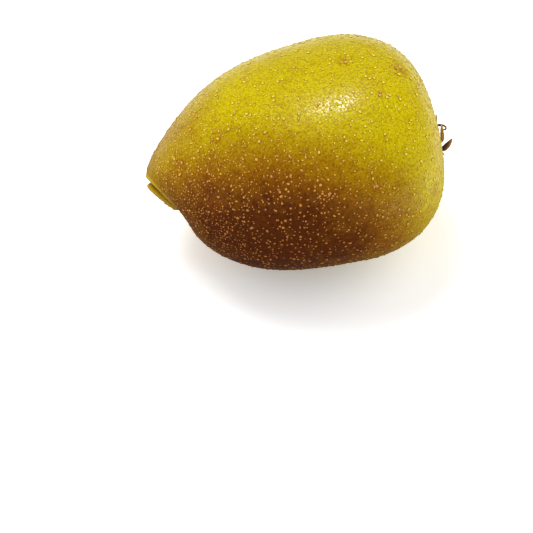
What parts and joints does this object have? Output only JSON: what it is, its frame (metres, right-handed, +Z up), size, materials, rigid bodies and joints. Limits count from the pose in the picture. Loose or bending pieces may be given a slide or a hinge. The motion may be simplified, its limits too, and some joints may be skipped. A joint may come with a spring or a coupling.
{
  "type": "golden kiwi fruit",
  "caption": "Whole golden kiwi fruit lying on its side, with a slanting beak at the blossom end and a corky button in a dried calyx at the stem end.",
  "frame": {"origin": "middle of the bounding box in X and Y, on the surface that the fruit rests on", "axes": "+X along the fruit towards the stem end, with the beak of the blossom end towards -X, and +Z up"},
  "size_m": [0.0757, 0.0581, 0.0539],
  "materials": {
    "skin": "thin satin skin, yellow-olive to red-brown, with fine raised tan lenticels",
    "cork": "dry, matt and corky",
    "dried_sepal": "dry, matt and fibrous"
  },
  "bodies": {
    "root": {"fruit_body": "skin", "stem_button": "cork", "dried_calyx": "dried_sepal"}
  },
  "joints": []
}
